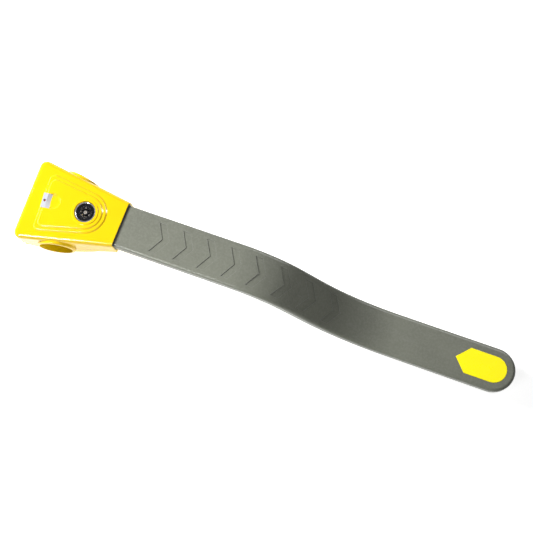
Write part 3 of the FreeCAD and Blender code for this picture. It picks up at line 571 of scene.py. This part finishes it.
def domed_pins(node, name, crown, materials):
    """Small round pins whose upper end is a dome of the given height."""
    parts = []
    for points in islands(node):
        low, high = span(points, UPRIGHT)
        foot = axis_foot(points, UPRIGHT)
        radius = max(reach_from(point, foot) for point in points)
        rings = [(low, radius * 0.8), (low + 0.2 * radius, radius)]
        for k in range(6):
            turn = math.radians(17 * k)
            rings.append((high - crown + crown * math.sin(turn), radius * math.cos(turn)))
        parts.append(turned_mesh(rings, foot, UPRIGHT, 20))
    make_piece(name, parts, node, materials)


def lamp(materials):
    """The lamp: a flange on the board, and a domed lens."""
    points = islands("led_lamp")[0]
    foot = axis_foot(points, UPRIGHT)
    low, high = span(points, UPRIGHT)
    flange = max(reach_from(point, foot) for point in points)
    crown = [point for point in points if point.dot(UPRIGHT) > high - TOUCH]
    lens = min(reach_from(point, foot) for point in crown)
    rings = [(low, flange), (low + 0.8 * MM, flange), (low + 1.0 * MM, flange - 0.2 * MM)]
    rings.append((low + 1.0 * MM, lens))
    for k in range(8):
        turn = math.radians(12 * k)
        rings.append((high - lens + lens * math.sin(turn), lens * math.cos(turn)))
    make_piece("domed_lamp", [turned_mesh(rings, foot, UPRIGHT, 32)], "led_lamp", materials)


# A cell's outline: height in mm before scaling to the CAD cell, and share of its radius
CELL_STEPS = [(0.0, 0.93), (0.25, 1.0), (3.9, 1.0), (4.4, 0.96), (4.4, 0.86), (4.1, 0.84),
              (4.1, 0.80), (5.2, 0.78), (5.4, 0.74)]


def cells(materials):
    """Button cells: a stepped can, a sunk seal ring and a raised cap."""
    parts = []
    for points in islands("button_cells"):
        foot = axis_foot(points, UPRIGHT)
        low, high = span(points, UPRIGHT)
        radius = span(points, ACROSS)[1] - foot.dot(ACROSS)
        scale = (high - low) / (CELL_STEPS[-1][0] * MM)
        rings = [(low + height * MM * scale, radius * part) for height, part in CELL_STEPS]
        parts.append(turned_mesh(rings, foot, UPRIGHT, 48))
    make_piece("stepped_cells", parts, "button_cells", materials)


# The pin's end: mm in from its tip, and share of its radius
PIN_END = [(0.7, 0.0), (0.0, 0.32), (0.0, 0.80), (0.45, 1.0)]


def hinge_pin(materials):
    """The jaw's pin: chamfered at both ends, with a drilled centre in each."""
    points = islands("hinge_pin")[0]
    foot = axis_foot(points, ACROSS)
    low, high = span(points, ACROSS)
    radius = span(points, UPRIGHT)[1] - foot.dot(UPRIGHT)
    end = [(inset * MM, max(part * radius, 0.01 * MM)) for inset, part in PIN_END]
    rings = [(low + inset, reach) for inset, reach in end]
    rings += [(high - inset, reach) for inset, reach in reversed(end)]
    make_piece("centred_hinge_pin", [turned_mesh(rings, foot, ACROSS, 40)], "hinge_pin", materials)


def rivets(materials):
    """Rivets with a domed head below and a chamfered upper end."""
    parts = []
    for points in islands("arm_rivets"):
        foot = axis_foot(points, UPRIGHT)
        low, high = span(points, UPRIGHT)
        crown = [point for point in points if point.dot(UPRIGHT) > high - TOUCH]
        shank = min(reach_from(point, foot) for point in crown)
        head_r = max(reach_from(point, foot) for point in points)
        rim = [point for point in points if reach_from(point, foot) > 0.98 * head_r]
        top = max(point.dot(UPRIGHT) for point in rim)
        rings = []
        for k in range(7):
            turn = math.radians(15 * k)
            height = low + (top - low) * (1 - math.cos(turn)) * 0.85
            rings.append((height, head_r * max(0.02, math.sin(turn))))
        rings += [(top, head_r), (top, shank), (high - 0.4 * MM, shank), (high, shank - 0.3 * MM)]
        parts.append(turned_mesh(rings, foot, UPRIGHT, 40))
    make_piece("domed_rivets", parts, "arm_rivets", materials)


RIB = 2.4 * MM
GROOVE = 1.0 * MM
GROOVE_DEPTH = 0.7 * MM
GROOVE_DRAFT = 0.25 * MM
PAD_CORNER = 0.8 * MM
SEAT_STEPS = 40         # round the seat


def pad_stations(y_low, y_high):
    """Places along the rim, each with the seat's radius there: ribs with grooves between."""
    stations = [(y_low, RIM_R)]
    place = y_low + RIB
    while place + GROOVE + RIB <= y_high + 1e-6:
        stations += [(place, RIM_R), (place + GROOVE_DRAFT, RIM_R + GROOVE_DEPTH),
                     (place + GROOVE - GROOVE_DRAFT, RIM_R + GROOVE_DEPTH), (place + GROOVE, RIM_R)]
        place += GROOVE + RIB
    stations.append((y_high, RIM_R))
    return stations


def ribbed_pad(node, name, materials):
    """A rubber pad whose round seat is moulded in ribs across the rim."""
    points = islands(node)[0]
    x_low, x_high = span(points, AHEAD)
    y_low, y_high = span(points, ACROSS)
    z_low, z_high = span(points, UPRIGHT)
    upper = z_high > -z_low
    back, lip = (z_high, z_low) if upper else (z_low, z_high)
    stations = pad_stations(y_low, y_high)
    mesh_points = []
    for place, radius in stations:
        soft = PAD_CORNER if place in (y_low, y_high) else 0.0
        start = math.asin(abs(lip) / radius)
        flat = back - math.copysign(soft, back)
        outline = [(x_low + soft, lip), (x_low + soft, flat), (x_low + PAD_CORNER, flat),
                   (x_high - PAD_CORNER, flat), (x_high - soft, flat), (x_high - soft, lip)]
        for k in range(SEAT_STEPS + 1):
            turn = start + (math.pi - 2 * start) * k / SEAT_STEPS
            outline.append((radius * math.cos(turn), math.copysign(radius * math.sin(turn), back)))
        for x, z in outline:
            mesh_points.append(AHEAD * x + ACROSS * place + UPRIGHT * z)
    faces = skin(len(stations), len(outline))
    make_piece(name, [(mesh_points, faces)], node, materials)


def detailed_pieces(materials):
    """Every Blender piece that stands in for a CAD node."""
    for node in ("back_screws", "striker_screws", "cover_screws", "housing_screws", "plate_screws"):
        screws(node, node + "_threaded", materials)
    domed_pins("key_pins", "domed_key_pins", 0.4 * MM, materials)
    lamp(materials)
    cells(materials)
    hinge_pin(materials)
    rivets(materials)
    ribbed_pad("upper_pad", "upper_pad_ribbed", materials)
    ribbed_pad("lower_pad", "lower_pad_ribbed", materials)


# ---------------------------------------------------------------- stage

FLOOR_CORNERS = [(-4.0, -4.0), (4.0, -4.0), (4.0, 4.0), (-4.0, 4.0)]
FLOOR_GLOW = 0.78     # lifts the floor to the photograph's white
WORLD_LIGHT = 0.10    # how bright the room is as light on matt surfaces
WORLD_MIRRORED = 0.38    # in reflections
WORLD_SEEN = 0.87     # and to the camera, close to the far floor's brightness
HEAD = (0.0, 0.0, 0.02)     # what the softboxes point at, in metres
TIP = (0.53, 0.0, -0.02)
EYE = (0.2432, -0.1996, 1.0899)
EYE_ANGLES = (10.83, -3.76, 20.32)    # degrees, about X, Y and Z
EYE_LENS = 64.2       # mm
EYE_SENSOR = 36.0


def floor(level):
    """A wide pale floor with a faint glow under the lock, at the height it rests on."""
    mesh = bpy.data.meshes.new("floor")
    corners = [(x, y, level) for x, y in FLOOR_CORNERS]
    mesh.from_pydata(corners, [], [(0, 1, 2, 3)])
    plane = bpy.data.objects.new("floor", mesh)
    bpy.context.scene.collection.objects.link(plane)
    s = Shader("pale_floor")
    s.colour(s.mix(s.noise(0.4, 3.0), (0.86, 0.86, 0.86), (0.90, 0.90, 0.90)))
    s.set(Roughness=0.8, Emission_Color=(1.0, 1.0, 1.0, 1.0), Emission_Strength=FLOOR_GLOW)
    mesh.materials.append(s.material)


def softbox(name, place, aim, size, power, lights_surfaces=True, mirrored=True, spread=180):
    """A rectangular light unseen by the camera; it may be left out of matt light or of reflections.

    Spread is the angle in degrees that it shines into.
    """
    light = bpy.data.lights.new(name, "AREA")
    light.shape = "RECTANGLE"
    light.size, light.size_y = size
    light.energy = power
    light.spread = math.radians(spread)
    holder = bpy.data.objects.new(name, light)
    holder.location = place
    holder.rotation_euler = (Vector(aim) - Vector(place)).to_track_quat("-Z", "Y").to_euler()
    holder.visible_camera = False
    holder.visible_diffuse = lights_surfaces
    holder.visible_glossy = mirrored
    bpy.context.scene.collection.objects.link(holder)


def glint(name, place, aim, size, power, spread):
    """A softbox that is seen only in reflections."""
    softbox(name, place, aim, size, power, lights_surfaces=False, spread=spread)


def lights():
    """A dim room with a pale backdrop, a key and a weak fill, and boxes for the glints."""
    world = bpy.data.worlds.new("studio")
    world.use_nodes = True
    nodes = world.node_tree.nodes
    links = world.node_tree.links
    background = nodes["Background"]
    background.inputs["Color"].default_value = (1.0, 1.0, 1.0, 1.0)
    rays = nodes.new("ShaderNodeLightPath").outputs
    reflected = nodes.new("ShaderNodeMapRange")
    reflected.inputs["To Min"].default_value = WORLD_LIGHT
    reflected.inputs["To Max"].default_value = WORLD_MIRRORED
    links.new(rays["Is Glossy Ray"], reflected.inputs["Value"])
    level = nodes.new("ShaderNodeMapRange")
    level.inputs["To Max"].default_value = WORLD_SEEN
    links.new(reflected.outputs["Result"], level.inputs["To Min"])
    links.new(rays["Is Camera Ray"], level.inputs["Value"])
    links.new(level.outputs["Result"], background.inputs["Strength"])
    bpy.context.scene.world = world
    softbox("key", (-1.02, 0.12, 0.71), HEAD, (0.5, 0.5), 33.0, mirrored=False)
    softbox("fill", (0.22, -0.30, 0.42), HEAD, (0.3, 0.3), 1.05, mirrored=False)
    glint("near_box", (-0.375, -0.84, 0.79), HEAD, (0.18, 0.42), 1.5, 50)
    glint("far_box", (0.16, 0.78, 0.60), HEAD, (0.42, 0.26), 0.10, 30)
    glint("tip_box", (0.50, 0.62, 0.62), TIP, (0.60, 0.12), 9.0, 180)


def camera():
    """The photograph's view: from above and the near side, the arm running down to the right."""
    data = bpy.data.cameras.new("camera")
    data.sensor_width = EYE_SENSOR
    data.lens = EYE_LENS
    data.clip_start = 0.05
    data.clip_end = 20.0
    eye = bpy.data.objects.new("camera", data)
    eye.location = EYE
    turn = [math.radians(angle) for angle in EYE_ANGLES]
    eye.rotation_euler = Euler(turn, "XYZ")
    bpy.context.scene.collection.objects.link(eye)
    bpy.context.scene.camera = eye


detailed_pieces(paint_nodes())
floor(CAD_BOX[0].z)
lights()
camera()
bpy.context.scene.view_settings.view_transform = "Standard"
